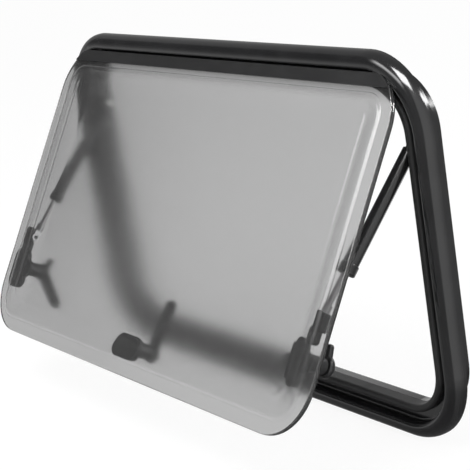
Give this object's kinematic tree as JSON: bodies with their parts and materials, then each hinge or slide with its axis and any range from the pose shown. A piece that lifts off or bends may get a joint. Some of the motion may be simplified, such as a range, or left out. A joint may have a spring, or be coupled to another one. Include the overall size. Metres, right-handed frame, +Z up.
{
  "type": "top-hung caravan window",
  "caption": "Caravan window with a rounded frame, a tinted double acrylic sash opened outwards on a top hinge, telescopic stays and turning latches.",
  "frame": {"origin": "on the wall's outer face, at the bottom centre of the wall opening, on the back of the outer frame's flange", "axes": "+X to the right seen from outside, +Y into the wall, +Z up"},
  "size_m": [0.748, 0.2514, 0.448],
  "materials": {
    "frame_plastic": "moulded black plastic with a satin gloss",
    "seal_rubber": "soft black rubber",
    "dark_aluminium": "dark anodised aluminium",
    "tinted_acrylic": "grey tinted acrylic, half clear",
    "stay_plastic": "dark grey moulded plastic",
    "stay_metal": "drawn steel rod",
    "fitting_plastic": "black moulded plastic"
  },
  "bodies": {
    "root": {"outer_frame": "frame_plastic", "frame_seal": "seal_rubber", "inner_frame": "frame_plastic", "hinge_rail": "dark_aluminium", "hinge_profile": "dark_aluminium", "outer_pane": "tinted_acrylic", "inner_pane": "tinted_acrylic", "stay_bracket_left": "fitting_plastic", "stay_bracket_right": "fitting_plastic", "stay_tube_left": "stay_plastic", "stay_tube_right": "stay_plastic", "stay_rod_left": "stay_metal", "stay_rod_right": "stay_metal", "sash_bracket_left": "fitting_plastic", "sash_bracket_right": "fitting_plastic", "latch_base_left": "fitting_plastic", "latch_base_right": "fitting_plastic", "latch_base_bottom": "fitting_plastic", "latch_lever_left": "fitting_plastic", "latch_lever_right": "fitting_plastic", "latch_lever_bottom": "fitting_plastic"}
  },
  "joints": []
}
